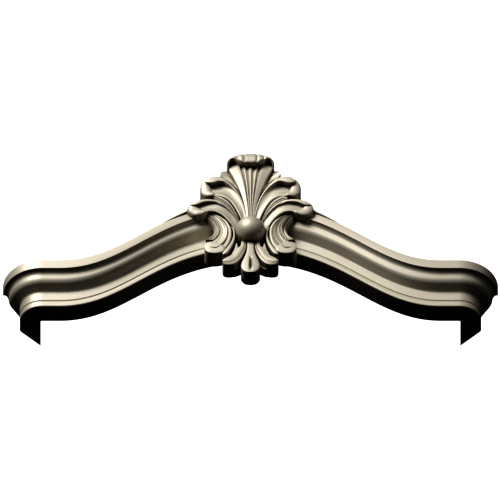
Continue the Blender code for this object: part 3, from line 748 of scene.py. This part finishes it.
@dataclass
class Cartouche:
    """The carving over the crown: a fluted fan, curled leaves, scrolls, a drop and a half-ball boss."""

    finish: ChampagneLacquer
    crown_underside: float = -Cornice.height / 2
    top_projection: float = Cornice.top_projection
    scale: float = 0.001
    boss_radius: float = 0.0318
    boss_back: float = 0.034
    boss_rise: float = 0.0128
    boss_stand: float = 0.004
    boss_spans: int = 24
    boss_turns: int = 72
    back_inset: float = 0.0455
    stagger: float = 0.00005
    crease: float = math.radians(40)
    centre_blades: tuple[Blade, ...] = field(default=())
    side_blades: tuple[Blade, ...] = field(default=())

    @property
    def boss_height(self) -> float:
        """The height of the boss's centre."""
        return self.crown_underside + self.boss_rise

    @property
    def face(self) -> float:
        """How far the plane of the boss's base stands in front of the back."""
        return self.top_projection + self.boss_stand

    def blade_shape(self, blade: Blade, side: int, ahead: float) -> bmesh.types.BMesh:
        """The closed body of a blade: its carved face, walls straight back and a flat back.

        Args:
            blade: the leaf or ridge.
            side: 1 for the right half, -1 for the left.
            ahead: how far its back lies in front of the carving's own back.

        Returns:
            The body as a working mesh.
        """
        grid = blade.front()
        mesh = bmesh.new()
        scale = self.scale
        back = self.back_inset + ahead

        def spot(x: float, z: float, stand: float) -> Vector:
            """The place of one carved point."""
            return Vector((side * x * scale, -(self.face + stand * scale), self.boss_height + z * scale))

        rows, columns = grid.shape[0], grid.shape[1]
        verts: list[list[bmesh.types.BMVert]] = []
        for i in range(rows):
            if np.linalg.norm(grid[i, 0] - grid[i, -1]) < POINTED_END:
                verts.append([mesh.verts.new(spot(*grid[i, 0]))] * columns)
            else:
                verts.append([mesh.verts.new(spot(*grid[i, j])) for j in range(columns)])
        for i in range(rows - 1):
            for j in range(columns - 1):
                corners = [verts[i][j], verts[i][j + 1], verts[i + 1][j + 1], verts[i + 1][j]]
                corners = list(dict.fromkeys(corners))
                if len(corners) > 2:
                    mesh.faces.new(corners)
        loop = [row[0] for row in verts] + verts[-1][1:]
        loop += [row[-1] for row in verts[-2::-1]] + verts[0][-2:0:-1]
        loop = list(dict.fromkeys(loop))
        foot = [mesh.verts.new((v.co.x, -back, v.co.z)) for v in loop]
        for k in range(len(loop)):
            k2 = (k + 1) % len(loop)
            mesh.faces.new((loop[k], loop[k2], foot[k2], foot[k]))
        mesh.faces.new(foot)
        bmesh.ops.recalc_face_normals(mesh, faces=mesh.faces)
        return mesh

    def boss_shape(self) -> bmesh.types.BMesh:
        """The boss: half a ball on a round base."""
        mesh = bmesh.new()
        profile = [(0.0, -self.face + self.boss_back), (self.boss_radius, -self.face + self.boss_back)]
        for step in range(self.boss_spans + 1):
            angle = math.pi / 2 * step / self.boss_spans
            depth = -self.face - self.boss_radius * math.sin(angle)
            profile.append((self.boss_radius * math.cos(angle), depth))
        line = [mesh.verts.new((radius, y, self.boss_height)) for radius, y in profile]
        edges = [mesh.edges.new(pair) for pair in zip(line, line[1:])]
        centre = (0, 0, self.boss_height)
        turn = {"cent": centre, "axis": (0, 1, 0), "angle": 2 * math.pi, "steps": self.boss_turns}
        bmesh.ops.spin(mesh, geom=line + edges, **turn)
        bmesh.ops.remove_doubles(mesh, verts=mesh.verts, dist=MERGE_DISTANCE)
        bmesh.ops.recalc_face_normals(mesh, faces=mesh.faces)
        return mesh

    def build(self) -> bpy.types.Object:
        """Carves the cartouche and dresses it.

        Returns:
            The finished piece.
        """
        shapes = [(blade, 1) for blade in self.centre_blades]
        shapes += [(blade, side.value) for blade in self.side_blades for side in Side]
        whole = bmesh.new()
        for number, (blade, side) in enumerate(shapes):
            body = self.blade_shape(blade, side, self.stagger * number)
            self._take_in(whole, body)
        self._take_in(whole, self.boss_shape())
        mesh = bpy.data.meshes.new("carved_cartouche")
        whole.to_mesh(mesh)
        whole.free()
        mesh.shade_smooth()
        mesh.set_sharp_from_angle(angle=self.crease)
        piece = as_object("carved_cartouche", mesh, self.finish.build())
        stands_for(piece, "cartouche")
        return piece

    @staticmethod
    def _take_in(whole: bmesh.types.BMesh, body: bmesh.types.BMesh) -> None:
        """Adds one working mesh to another and frees it."""
        part = bpy.data.meshes.new("part")
        body.to_mesh(part)
        body.free()
        whole.from_mesh(part)
        bpy.data.meshes.remove(part)


GROUND_EDGE = (
    (0, -98, -27), (30, -70, -27), (46, -25, -27), (60, 20, -27), (56, 70, -27),
    (30, 120, -27), (0, 150, -27),
)
GROUND = Blade(
    "ground",
    edge=GROUND_EDGE,
    other=mirrored(GROUND_EDGE),
)
FAN_EDGE = (
    (8, 10, -4), (9.5, 40, 1), (11.4, 63.6, 4.5), (14.2, 82, 6.5), (19.3, 107, 8),
    (26.6, 134.8, 9), (32, 152.4, 9), (40.8, 175.2, 8.5), (48, 192, 7), (49.5, 203, 5.5),
    (46, 214, 4),
)
FAN = Blade(
    "fan",
    edge=FAN_EDGE,
    other=mirrored(FAN_EDGE),
    section=both_ways(
        (0.0, 2.5, 3.5), (0.07, 2.0, 3.0), (0.14, -1.5, -3.0), (0.2, 0.5, 0.5), (0.27, 1.5, 2.0),
        (0.33, 1.0, 1.5), (0.4, -2.0, -4.5), (0.5, 1.5, 2.5), (1.0, -1.0, -1.5),
    ),
)
FAN_LIP = Blade(
    "fan_lip",
    edge=across(
        (47, 190, 9), (48, 202, 15), (46.5, 213, 20), (42.5, 219, 22), (35, 221, 23),
        (28, 217, 24), (20, 213, 25), (10, 211, 26), (0, 210.5, 26),
    ),
    other=across(
        (48.5, 188, 8), (51.3, 202, 12), (49, 213, 15), (43, 222, 18), (34, 228.5, 19),
        (28, 231.5, 20), (21, 234.5, 21), (10, 236.5, 21.5), (0, 237, 21.5),
    ),
    section=((0.0, -2.0, -2.0), (0.15, 0.5, 0.5), (0.5, 2.0, 2.0), (0.85, 1.0, 1.0), (1.0, -2.0, -2.0)),
    notches=(14.0, 29.5),
    notch_depth=3.5,
)
DROP_EDGE = (
    (8, -28, -4), (7.5, -50, -2), (9.5, -66, -1), (14, -82, 0), (20, -101, 0),
    (20, -113, -1.5), (11.5, -126.5, -3.5), (0, -130.5, -4.5),
)
DROP = Blade(
    "drop",
    edge=DROP_EDGE,
    other=mirrored(DROP_EDGE),
    swell=(2.0, 4.5),
    slit=8.0,
)
SIDE_BLADES = (
    Blade(
        "back_leaf",
        edge=(
            (26.8, 124, -4), (34, 136, -3), (41, 146, -1), (49, 154, 0), (56.8, 159.5, 1),
            (62, 164, 2), (65, 169, 2),
        ),
        other=(
            (22.5, 128, -7), (30, 147, -7), (37, 165, -6), (44, 177, -4), (54.7, 182.9, -1),
            (62, 180, 1), (65, 172, 2),
        ),
        section=(
            (0, 0, -1), (0.2, 1, 1), (0.42, 1.5, 2.5), (0.5, 0, 0), (0.8, 0, 0.5), (1, -1.5, -1),
        ),
    ),
    Blade(
        "upper_leaf",
        edge=(
            (9, 14, -5), (10.7, 52, 1.5), (16.1, 78.5, 6), (22.5, 100, 9.5), (31.1, 116.5, 11),
            (39.7, 128.2, 10.5), (48.3, 135.5, 9.5), (65.4, 143.2, 8.5), (80.4, 141.4, 8.5),
            (92, 137, 8.5),
        ),
        other=(
            (18, 10, -6), (19.5, 30, -2), (22.5, 42.3, 1), (26.8, 54.5, 3), (35.4, 75.7, 6.5),
            (44, 91, 9), (52.6, 100, 11), (65.4, 106.5, 12), (80.4, 107.5, 12), (93, 120, 11),
        ),
        section=(
            (0, 0, 0), (0.3, -1, -3), (0.6, -0.5, -3), (0.88, 0.5, 0), (1, -0.5, -1.5),
        ),
    ),
    Blade(
        "upper_curl",
        edge=(
            (94, 153, 9), (102, 146, 7), (107.2, 134.5, 6), (108, 121.2, 5.5), (105, 108, 5.5),
            (96, 101.5, 6), (84.7, 101.5, 7), (72, 106, 9),
        ),
        other=(
            (91, 147, 8), (88, 139.4, 7.5), (86, 133.3, 7), (84.5, 125.7, 7), (82.5, 118.2, 7),
            (80.5, 114, 7.5), (77.5, 111.5, 8), (72, 108.5, 9),
        ),
        swell=(9.0, 6.0),
        fullness=2.2,
    ),
    Blade(
        "upper_ridge",
        edge=(
            (7.5, 25, -4, 1.2), (10.7, 52.5, 2, 1.2), (16.1, 79.5, 6.5, 1.4), (22.5, 102, 10, 1.6),
            (31.1, 120.5, 13, 1.8), (39.7, 135.2, 15.5, 2.4), (48.3, 145.5, 18, 3.2),
            (56.8, 153, 19.5, 4.2), (65.4, 156.5, 20, 6), (74, 156.8, 20.5, 8),
            (82, 155, 20.5, 9.2), (90, 152.2, 20, 8.4), (97.5, 149, 18.5, 6),
        ),
        swell=(1.5, 2.0),
    ),
    Blade(
        "reeded_leaf",
        edge=(
            (18, 10, -8), (25.7, 36.3, -4.5), (31.1, 54.5, -1.5), (39.7, 75.7, 2),
            (48.3, 89.3, 4.5), (59, 99, 6), (69.7, 103.6, 6.5), (78.3, 98, 7),
        ),
        other=(
            (20, 6, -4), (30, 37, 2), (38, 52.5, 5.5), (48, 67, 8.5), (57, 77, 11),
            (65.4, 83.3, 12.5), (73, 88.5, 13), (80, 92, 12.5),
        ),
        section=(
            (0, 0, 0), (0.05, 2.5, 2.5), (0.2, 3.6, 3.6), (0.33, 2.4, 2.4), (0.38, -0.2, -0.2),
            (0.45, 2, 2), (0.51, 2, 2), (0.56, -0.2, -0.2), (0.62, 2, 2), (0.68, 2, 2),
            (0.73, -0.2, -0.2), (0.8, 2, 2), (0.9, 1.5, 1.5), (1, 0, 0),
        ),
    ),
    Blade(
        "middle_leaf",
        edge=(
            (22, 10, -5), (33.2, 42, 0), (44, 59, 3), (54.7, 72, 6), (65.4, 79.8, 8.5),
            (76.1, 86, 9.5), (86.9, 86, 9), (97.6, 84.2, 8), (108.3, 80.7, 7.5), (118, 77, 7),
        ),
        other=(
            (22, -8, -6), (33.2, 3, -2), (37.5, 12, 0), (44, 25.6, 3), (54.7, 42.3, 5.5),
            (65.4, 53.5, 7.5), (76.1, 59.9, 8.5), (86.9, 61.4, 9), (97, 59.5, 9), (114, 66, 8),
        ),
        section=(
            (0, 0, 0), (0.3, -0.5, -2), (0.6, -0.5, -2), (0.88, 0.5, 0), (1, -0.5, -1),
        ),
    ),
    Blade(
        "middle_curl",
        edge=(
            (127, 80, 7), (132.5, 74.6, 5.5), (135.4, 66, 4), (134, 55.5, 3.5), (128, 48, 3),
            (119, 44, 3.5), (108.3, 45, 4), (99.7, 50.5, 5.5), (92, 57.5, 7),
        ),
        other=(
            (124, 77, 6.5), (118.5, 75, 6), (114.5, 72, 5.5), (111.5, 68, 5), (107.5, 65, 5),
            (103, 62.6, 5.5), (98.7, 61, 6), (95.5, 60, 6.5), (92, 59.5, 7),
        ),
        swell=(8.0, 4.5),
        fullness=2.2,
    ),
    Blade(
        "middle_ridge",
        edge=(
            (20, 6, -4, 1.2), (29, 34.7, -0.5, 1.2), (33.2, 42.8, 1, 1.3), (44, 61, 5, 1.6),
            (54.7, 74.5, 8, 2), (65.4, 83, 11, 2.4), (76.1, 90.5, 13.5, 2.8),
            (86.9, 92.7, 14.5, 3.4), (97.6, 92.3, 15, 3.8), (108.3, 89.2, 15, 4.6),
            (117, 85, 14.5, 5.4), (124.5, 81.4, 13.5, 5), (130, 78.5, 12, 3.5),
        ),
        swell=(1.0, 1.5),
    ),
    Blade(
        "scroll_inside",
        edge=(
            (95, 51, -3), (92.6, 36, -6), (85.4, 23.5, -10), (79, 11, -11), (78.3, -1.6, -10),
            (83.6, -14.2, -6), (91, -21, -1.5), (96, -26, 1),
        ),
        other=(
            (95, 51, -3), (81.7, 43, 0), (71.2, 28.6, 1), (65.8, 11, 2), (66.7, -4, 2),
            (72, -17, 2), (82, -29, 2), (96, -26, 1),
        ),
        section=(
            (0.0, -3.0, -2.0), (0.15, 0.0, 1.0), (0.35, 1.0, 2.0), (0.55, -1.5, -1.5),
            (0.75, 1.5, 1.5), (0.9, 2.0, 2.0), (1.0, 0.0, 0.0),
        ),
    ),
    Blade(
        "scroll_middle",
        edge=(
            (95, 51, -3), (81.7, 43, -1), (71.2, 28.6, 0), (65.8, 11, 0), (66.7, -4, 0),
            (72, -17, 0.5), (80, -28, 1.5), (89, -37.5, 2.5), (93, -46, 3),
        ),
        other=(
            (95, 51, -3), (74.6, 47.5, 0), (60.5, 31, 2), (51.5, 13.5, 3), (48.9, -1.6, 3),
            (51.5, -21.8, 3.5), (61, -40, 4.5), (75, -51.5, 5), (93, -47, 3.5),
        ),
        section=(
            (0, -1, -1), (0.2, -2, -0.5), (0.32, 0, 0.5), (0.38, -1.5, 0), (0.6, -1.5, 1),
            (0.8, 1, 1.5), (0.93, 2, 1.5), (1, -1, -1),
        ),
    ),
    Blade(
        "scroll_outside",
        edge=(
            (80, 51.5, -1), (74.6, 48, 0), (69.3, 42.4, 0.5), (60.5, 31, 1), (51.5, 13.5, 2),
            (48.9, -1.6, 2), (51.5, -21.8, 2), (61, -41, 2.5), (77, -54, 2.5),
        ),
        other=(
            (80, 51.5, -1), (75, 50, 0), (69.5, 46.5, 0.5), (63.9, 42, 1), (51.5, 31, 1),
            (43, 14, 1), (40, -9, 1), (44.4, -38.1, 1), (57, -62, 1.5),
        ),
        section=(
            (0, 0, 0), (0.12, -1.5, -1), (0.3, 0, 0.5), (0.55, 1.5, 2), (0.85, 1.5, 2),
            (1, -0.5, -0.5),
        ),
    ),
    Blade(
        "scroll_lobe",
        edge=(
            (98.5, -46, 0), (95, -37, 1), (87, -33.5, 2), (77, -33.5, 2.5), (67, -37, 2.5),
            (58, -46, 2), (52, -56, 1),
        ),
        other=(
            (98.5, -48, 0), (98.5, -57, 0.5), (92, -65.5, 1), (82, -69, 1), (72, -69, 1),
            (60, -65.5, 1), (52, -58, 1),
        ),
        swell=(3.0, 3.0),
    ),
    Blade(
        "scroll_edge",
        edge=(
            (42, 14, -3, 1.2), (37, 4, -2, 2), (35, -16.8, -1, 2.4), (38, -33, 0, 3.2),
            (46.5, -54, 1, 4.6), (54, -67, 1, 5), (60, -74, 0, 3.5),
        ),
        swell=(2.0, 4.0),
    ),
    Blade(
        "sprig",
        edge=(
            (31.5, -37, -4), (33.5, -48, -3), (36.5, -60, -2), (41, -69, -1.5),
        ),
        other=(
            (28.5, -38, -4), (27, -48, -3), (27, -60, -2), (33, -70, -1.5),
        ),
        swell=(1.0, 1.0),
    ),
    Blade(
        "foot_body",
        edge=(
            (60.3, -98, -14), (52, -92, -14), (36, -92, -14), (20, -97, -14),
        ),
        other=(
            (60.3, -99, -14), (51, -113, -14), (36, -117, -14), (20, -110, -14),
        ),
    ),
    Blade(
        "foot_leaf",
        edge=(
            (19.3, -30, -4), (22.5, -45.7, -2), (27.9, -50, -1), (31.1, -55, -0.5),
            (36.5, -65.4, 0), (44, -74.5, 1), (52.6, -80.5, 1.5), (60.5, -88, 1.5),
        ),
        other=(
            (9.7, -30, -4), (9.7, -51.7, -1), (15, -71.4, 1), (22.5, -86.6, 2), (33.2, -98, 2.5),
            (46.1, -102, 2.5), (57.5, -99, 2), (60.5, -90, 1.5),
        ),
        section=(
            (0, -0.5, -0.5), (0.06, 1, 1), (0.42, 1.5, 2), (0.62, 1, 1.5), (0.68, -0.5, 0),
            (0.74, 1, 1.5), (0.8, -0.5, 0), (0.87, 1, 1.5), (1, -0.5, -0.5),
        ),
    ),
)
CENTRE_BLADES = (GROUND, FAN, FAN_LIP, DROP)


@dataclass
class Studio:
    """The floor, the soft lights and the camera.

    Each light has its place, the length of its side and its power in watts.
    """

    slant: float = math.radians(45.0)
    view_width: float = 1.0725
    centre: Point = (-0.00107, -0.00832)
    distance: float = 2.0
    reach: float = 20.0
    floor_height: float = -2.1
    floor_size: float = 6.0
    floor_colour: Row = (0.82, 0.82, 0.82)
    air_light: float = 0.006
    key: tuple[Row, float, float] = ((-2.0, -3.4, 2.15), 1.9, 142.0)
    fill: tuple[Row, float, float] = ((1.3, -2.2, 0.9), 1.4, 3.0)
    back: tuple[Row, float, float] = ((0.2, 2.2, 0.9), 1.2, 10.0)

    def floor(self) -> None:
        """Lays the pale floor, far below the pediment."""
        work = bmesh.new()
        bmesh.ops.create_grid(work, x_segments=2, y_segments=2, size=self.floor_size)
        for vert in work.verts:
            vert.co.z = self.floor_height
        mesh = bpy.data.meshes.new("floor")
        work.to_mesh(mesh)
        work.free()
        material = bpy.data.materials.new("pale_floor")
        material.use_nodes = True
        shader = material.node_tree.nodes["Principled BSDF"]
        shader.inputs["Base Color"].default_value = (*self.floor_colour, 1.0)
        shader.inputs["Roughness"].default_value = 0.9
        laid = as_object("floor", mesh, material)
        laid.visible_diffuse = False
        laid.visible_glossy = False

    @staticmethod
    def light(name: str, place: Row, side: float, power: float) -> None:
        """Hangs one square soft box that points at the middle.

        Args:
            name: its name.
            place: where it hangs.
            side: its width and height.
            power: its power in watts.
        """
        lamp = bpy.data.lights.new(name, "AREA")
        lamp.shape = "RECTANGLE"
        lamp.size = lamp.size_y = side
        lamp.energy = power
        holder = bpy.data.objects.new(name, lamp)
        holder.location = place
        holder.rotation_euler = (-Vector(place)).to_track_quat("-Z", "Y").to_euler()
        bpy.context.scene.collection.objects.link(holder)

    def world(self) -> None:
        """White where the camera looks past the piece, and dim as a light."""
        world = bpy.data.worlds.new("studio")
        bpy.context.scene.world = world
        world.use_nodes = True
        tree = world.node_tree
        nodes = Nodes(tree)
        tree.nodes.remove(tree.nodes["Background"])
        seen = nodes.add("ShaderNodeBackground", Color=(1.0, 1.0, 1.0, 1.0), Strength=1.0)
        fill = nodes.add("ShaderNodeBackground", Color=(1.0, 0.97, 0.93, 1.0), Strength=self.air_light)
        path = nodes.add("ShaderNodeLightPath")
        mix = nodes.add("ShaderNodeMixShader")
        nodes.put(mix.inputs[0], path.outputs["Is Camera Ray"])
        nodes.put(mix.inputs[1], fill.outputs[0])
        nodes.put(mix.inputs[2], seen.outputs[0])
        tree.links.new(mix.outputs[0], tree.nodes["World Output"].inputs[0])

    def camera(self) -> None:
        """Sets the camera square on, looking up from below without perspective."""
        lens = bpy.data.cameras.new("camera")
        lens.type = "ORTHO"
        lens.ortho_scale = self.view_width
        lens.clip_end = self.reach
        holder = bpy.data.objects.new("camera", lens)
        look = Vector((0, math.cos(self.slant), math.sin(self.slant)))
        up = Vector((0, -math.sin(self.slant), math.cos(self.slant)))
        holder.location = Vector((self.centre[0], 0, 0)) + up * self.centre[1] - look * self.distance
        holder.rotation_euler = look.to_track_quat("-Z", "Y").to_euler()
        bpy.context.scene.collection.objects.link(holder)
        bpy.context.scene.camera = holder

    def build(self) -> None:
        """Sets up the whole studio."""
        self.floor()
        self.world()
        self.camera()
        self.light("key", *self.key)
        self.light("fill", *self.fill)
        self.light("back", *self.back)
        bpy.context.scene.view_settings.view_transform = "Standard"
        bpy.context.scene.view_settings.look = "High Contrast"


def main() -> None:
    """Builds the pediment and its studio."""
    logging.basicConfig(level=logging.INFO, format="%(name)s: %(message)s")
    Cornice(ChampagneLacquer("champagne_moulding")).build()
    carving = ChampagneLacquer("champagne_carving")
    Cartouche(carving, centre_blades=CENTRE_BLADES, side_blades=SIDE_BLADES).build()
    Studio().build()


if __name__ == "__main__":
    main()
